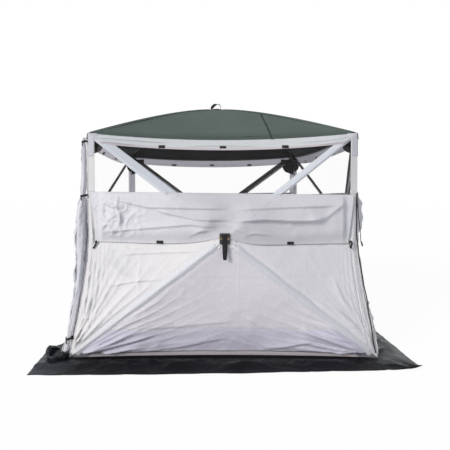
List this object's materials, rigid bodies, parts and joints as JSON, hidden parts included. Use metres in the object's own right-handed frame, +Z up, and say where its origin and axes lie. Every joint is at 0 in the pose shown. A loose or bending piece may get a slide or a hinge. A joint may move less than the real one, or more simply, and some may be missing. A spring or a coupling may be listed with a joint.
{
  "type": "hub screen tent",
  "caption": "Square pop-up screen tent: four walls and a domed roof, each held out by a centre hub and four hinged poles, with window covers, a rolled door and a ground skirt.",
  "frame": {"origin": "on the ground at the middle of the tent", "axes": "+Z up, -Y out through the front wall, +X to the right when the front wall is seen from outside"},
  "size_m": [2.9, 2.9, 2.2343],
  "materials": {
    "cloth_grey": "satin woven polyester",
    "cloth_green": "matte coated polyester",
    "cloth_black": "semi-gloss coated polyester",
    "screen": "fine insect screen",
    "webbing": "matte webbing",
    "fibreglass": "satin",
    "moulded_black": "satin moulded",
    "zip_metal": "black painted"
  },
  "bodies": {
    "tent_body": {"back_screen": "screen", "back_wall_cloth": "cloth_grey", "base_corner_joint_back_left": "moulded_black", "base_corner_joint_back_right": "moulded_black", "base_corner_joint_front_left": "moulded_black", "base_corner_joint_front_right": "moulded_black", "door_roll": "cloth_grey", "door_tie_lower": "webbing", "door_tie_upper": "webbing", "front_lower_panel": "cloth_grey", "front_screen": "screen", "front_upper_frame": "cloth_grey", "front_window_flap": "cloth_grey", "ground_skirt": "cloth_black", "left_screen": "screen", "left_wall_cloth": "cloth_grey", "right_screen": "screen", "right_wall_cloth": "cloth_grey", "roof_canopy": "cloth_green", "top_corner_joint_back_left": "moulded_black", "top_corner_joint_back_right": "moulded_black", "top_corner_joint_front_left": "moulded_black", "top_corner_joint_front_right": "moulded_black"},
    "front_hub_body": {"front_hub": "moulded_black", "front_hub_plate": "moulded_black"},
    "front_pole_upper_right": {"front_pole_upper_right": "fibreglass"},
    "front_pole_upper_left": {"front_pole_upper_left": "fibreglass"},
    "front_pole_lower_right": {"front_pole_lower_right": "fibreglass"},
    "front_pole_lower_left": {"front_pole_lower_left": "fibreglass"},
    "front_strap_body": {"front_pull_strap": "webbing"},
    "right_hub_body": {"right_hub": "moulded_black", "right_hub_plate": "moulded_black"},
    "right_pole_upper_right": {"right_pole_upper_right": "fibreglass"},
    "right_pole_upper_left": {"right_pole_upper_left": "fibreglass"},
    "right_pole_lower_right": {"right_pole_lower_right": "fibreglass"},
    "right_pole_lower_left": {"right_pole_lower_left": "fibreglass"},
    "right_strap_body": {"right_pull_strap": "webbing"},
    "back_hub_body": {"back_hub": "moulded_black", "back_hub_plate": "moulded_black"},
    "back_pole_upper_right": {"back_pole_upper_right": "fibreglass"},
    "back_pole_upper_left": {"back_pole_upper_left": "fibreglass"},
    "back_pole_lower_right": {"back_pole_lower_right": "fibreglass"},
    "back_pole_lower_left": {"back_pole_lower_left": "fibreglass"},
    "back_strap_body": {"back_pull_strap": "webbing"},
    "left_hub_body": {"left_hub": "moulded_black", "left_hub_plate": "moulded_black"},
    "left_pole_upper_right": {"left_pole_upper_right": "fibreglass"},
    "left_pole_upper_left": {"left_pole_upper_left": "fibreglass"},
    "left_pole_lower_right": {"left_pole_lower_right": "fibreglass"},
    "left_pole_lower_left": {"left_pole_lower_left": "fibreglass"},
    "left_strap_body": {"left_pull_strap": "webbing"},
    "roof_hub_body": {"roof_hub": "moulded_black", "roof_hub_plate": "moulded_black", "roof_pull_loop": "webbing"},
    "roof_pole_front_right": {"roof_pole_front_right": "fibreglass"},
    "roof_pole_back_right": {"roof_pole_back_right": "fibreglass"},
    "roof_pole_back_left": {"roof_pole_back_left": "fibreglass"},
    "roof_pole_front_left": {"roof_pole_front_left": "fibreglass"},
    "zip_pull_right": {"zip_pull_right": "zip_metal"},
    "zip_pull_left": {"zip_pull_left": "zip_metal"}
  },
  "joints": [
    {"name": "front_hub_pop", "type": "slide", "parent": "tent_body", "child": "front_hub_body", "axis": [0, -0.9979, 0.0651], "range_m": [-0.43, 0]},
    {"name": "front_pole_upper_right_swing", "type": "hinge", "parent": "tent_body", "child": "front_pole_upper_right", "pos_m": [1.03433, -1.08254, 1.73055], "axis": [-0.6119, 0.0515, 0.7893], "range_deg": [-19.56, 0]},
    {"name": "front_pole_upper_left_swing", "type": "hinge", "parent": "tent_body", "child": "front_pole_upper_left", "pos_m": [-1.03433, -1.08254, 1.73055], "axis": [-0.6119, -0.0515, -0.7893], "range_deg": [-19.56, 0]},
    {"name": "front_pole_lower_right_swing", "type": "hinge", "parent": "tent_body", "child": "front_pole_lower_right", "pos_m": [1.14919, -1.19141, 0.04483], "axis": [0.6119, 0.0515, 0.7893], "range_deg": [-17.55, 0]},
    {"name": "front_pole_lower_left_swing", "type": "hinge", "parent": "tent_body", "child": "front_pole_lower_left", "pos_m": [-1.14919, -1.19141, 0.04483], "axis": [0.6119, -0.0515, -0.7893], "range_deg": [-17.55, 0]},
    {"name": "front_strap_swing", "type": "hinge", "parent": "front_hub_body", "child": "front_strap_body", "pos_m": [0, -1.37941, 0.97768], "axis": [-1, 0, 0], "range_deg": [0, 90]},
    {"name": "right_hub_pop", "type": "slide", "parent": "tent_body", "child": "right_hub_body", "axis": [0.9979, 0, 0.0651], "range_m": [-0.43, 0]},
    {"name": "right_pole_upper_right_swing", "type": "hinge", "parent": "tent_body", "child": "right_pole_upper_right", "pos_m": [1.08254, 1.03433, 1.73055], "axis": [-0.0515, -0.6119, 0.7893], "range_deg": [-19.56, 0]},
    {"name": "right_pole_upper_left_swing", "type": "hinge", "parent": "tent_body", "child": "right_pole_upper_left", "pos_m": [1.08254, -1.03433, 1.73055], "axis": [0.0515, -0.6119, -0.7893], "range_deg": [-19.56, 0]},
    {"name": "right_pole_lower_right_swing", "type": "hinge", "parent": "tent_body", "child": "right_pole_lower_right", "pos_m": [1.19141, 1.14919, 0.04483], "axis": [-0.0515, 0.6119, 0.7893], "range_deg": [-17.55, 0]},
    {"name": "right_pole_lower_left_swing", "type": "hinge", "parent": "tent_body", "child": "right_pole_lower_left", "pos_m": [1.19141, -1.14919, 0.04483], "axis": [0.0515, 0.6119, -0.7893], "range_deg": [-17.55, 0]},
    {"name": "right_strap_swing", "type": "hinge", "parent": "right_hub_body", "child": "right_strap_body", "pos_m": [1.37941, 0, 0.97768], "axis": [0, -1, 0], "range_deg": [0, 90]},
    {"name": "back_hub_pop", "type": "slide", "parent": "tent_body", "child": "back_hub_body", "axis": [0, 0.9979, 0.0651], "range_m": [-0.43, 0]},
    {"name": "back_pole_upper_right_swing", "type": "hinge", "parent": "tent_body", "child": "back_pole_upper_right", "pos_m": [-1.03433, 1.08254, 1.73055], "axis": [0.6119, -0.0515, 0.7893], "range_deg": [-19.56, 0]},
    {"name": "back_pole_upper_left_swing", "type": "hinge", "parent": "tent_body", "child": "back_pole_upper_left", "pos_m": [1.03433, 1.08254, 1.73055], "axis": [0.6119, 0.0515, -0.7893], "range_deg": [-19.56, 0]},
    {"name": "back_pole_lower_right_swing", "type": "hinge", "parent": "tent_body", "child": "back_pole_lower_right", "pos_m": [-1.14919, 1.19141, 0.04483], "axis": [-0.6119, -0.0515, 0.7893], "range_deg": [-17.55, 0]},
    {"name": "back_pole_lower_left_swing", "type": "hinge", "parent": "tent_body", "child": "back_pole_lower_left", "pos_m": [1.14919, 1.19141, 0.04483], "axis": [-0.6119, 0.0515, -0.7893], "range_deg": [-17.55, 0]},
    {"name": "back_strap_swing", "type": "hinge", "parent": "back_hub_body", "child": "back_strap_body", "pos_m": [0, 1.37941, 0.97768], "axis": [1, 0, 0], "range_deg": [0, 90]},
    {"name": "left_hub_pop", "type": "slide", "parent": "tent_body", "child": "left_hub_body", "axis": [-0.9979, 0, 0.0651], "range_m": [-0.43, 0]},
    {"name": "left_pole_upper_right_swing", "type": "hinge", "parent": "tent_body", "child": "left_pole_upper_right", "pos_m": [-1.08254, -1.03433, 1.73055], "axis": [0.0515, 0.6119, 0.7893], "range_deg": [-19.56, 0]},
    {"name": "left_pole_upper_left_swing", "type": "hinge", "parent": "tent_body", "child": "left_pole_upper_left", "pos_m": [-1.08254, 1.03433, 1.73055], "axis": [-0.0515, 0.6119, -0.7893], "range_deg": [-19.56, 0]},
    {"name": "left_pole_lower_right_swing", "type": "hinge", "parent": "tent_body", "child": "left_pole_lower_right", "pos_m": [-1.19141, -1.14919, 0.04483], "axis": [0.0515, -0.6119, 0.7893], "range_deg": [-17.55, 0]},
    {"name": "left_pole_lower_left_swing", "type": "hinge", "parent": "tent_body", "child": "left_pole_lower_left", "pos_m": [-1.19141, 1.14919, 0.04483], "axis": [-0.0515, -0.6119, -0.7893], "range_deg": [-17.55, 0]},
    {"name": "left_strap_swing", "type": "hinge", "parent": "left_hub_body", "child": "left_strap_body", "pos_m": [-1.37941, 0, 0.97768], "axis": [0, 1, 0], "range_deg": [0, 90]},
    {"name": "roof_hub_pop", "type": "slide", "parent": "tent_body", "child": "roof_hub_body", "axis": [0, 0, 1], "range_m": [-0.743, 0]},
    {"name": "roof_pole_front_right_swing", "type": "hinge", "parent": "tent_body", "child": "roof_pole_front_right", "pos_m": [1.03904, -1.03904, 1.77682], "axis": [0.7071, 0.7071, 0], "range_deg": [-29.95, 0]},
    {"name": "roof_pole_back_right_swing", "type": "hinge", "parent": "tent_body", "child": "roof_pole_back_right", "pos_m": [1.03904, 1.03904, 1.77682], "axis": [-0.7071, 0.7071, 0], "range_deg": [-29.95, 0]},
    {"name": "roof_pole_back_left_swing", "type": "hinge", "parent": "tent_body", "child": "roof_pole_back_left", "pos_m": [-1.03904, 1.03904, 1.77682], "axis": [-0.7071, -0.7071, 0], "range_deg": [-29.95, 0]},
    {"name": "roof_pole_front_left_swing", "type": "hinge", "parent": "tent_body", "child": "roof_pole_front_left", "pos_m": [-1.03904, -1.03904, 1.77682], "axis": [0.7071, -0.7071, 0], "range_deg": [-29.95, 0]},
    {"name": "zip_pull_right_slide", "type": "slide", "parent": "tent_body", "child": "zip_pull_right", "axis": [0, -0.0023, 1], "range_m": [0, 0.363]},
    {"name": "zip_pull_left_slide", "type": "slide", "parent": "tent_body", "child": "zip_pull_left", "axis": [0, -0.0023, 1], "range_m": [0, 0.363]}
  ],
  "couplings": [
    {"joint": "front_pole_upper_right_swing", "follows": "front_hub_pop", "rad_per_m": 0.79325},
    {"joint": "front_pole_upper_left_swing", "follows": "front_hub_pop", "rad_per_m": 0.79325},
    {"joint": "front_pole_lower_right_swing", "follows": "front_hub_pop", "rad_per_m": 0.71186},
    {"joint": "front_pole_lower_left_swing", "follows": "front_hub_pop", "rad_per_m": 0.71186},
    {"joint": "right_pole_upper_right_swing", "follows": "right_hub_pop", "rad_per_m": 0.79325},
    {"joint": "right_pole_upper_left_swing", "follows": "right_hub_pop", "rad_per_m": 0.79325},
    {"joint": "right_pole_lower_right_swing", "follows": "right_hub_pop", "rad_per_m": 0.71186},
    {"joint": "right_pole_lower_left_swing", "follows": "right_hub_pop", "rad_per_m": 0.71186},
    {"joint": "back_pole_upper_right_swing", "follows": "back_hub_pop", "rad_per_m": 0.79325},
    {"joint": "back_pole_upper_left_swing", "follows": "back_hub_pop", "rad_per_m": 0.79325},
    {"joint": "back_pole_lower_right_swing", "follows": "back_hub_pop", "rad_per_m": 0.71186},
    {"joint": "back_pole_lower_left_swing", "follows": "back_hub_pop", "rad_per_m": 0.71186},
    {"joint": "left_pole_upper_right_swing", "follows": "left_hub_pop", "rad_per_m": 0.79325},
    {"joint": "left_pole_upper_left_swing", "follows": "left_hub_pop", "rad_per_m": 0.79325},
    {"joint": "left_pole_lower_right_swing", "follows": "left_hub_pop", "rad_per_m": 0.71186},
    {"joint": "left_pole_lower_left_swing", "follows": "left_hub_pop", "rad_per_m": 0.71186},
    {"joint": "roof_pole_front_right_swing", "follows": "roof_hub_pop", "rad_per_m": 0.70324},
    {"joint": "roof_pole_back_right_swing", "follows": "roof_hub_pop", "rad_per_m": 0.70324},
    {"joint": "roof_pole_back_left_swing", "follows": "roof_hub_pop", "rad_per_m": 0.70324},
    {"joint": "roof_pole_front_left_swing", "follows": "roof_hub_pop", "rad_per_m": 0.70324}
  ]
}
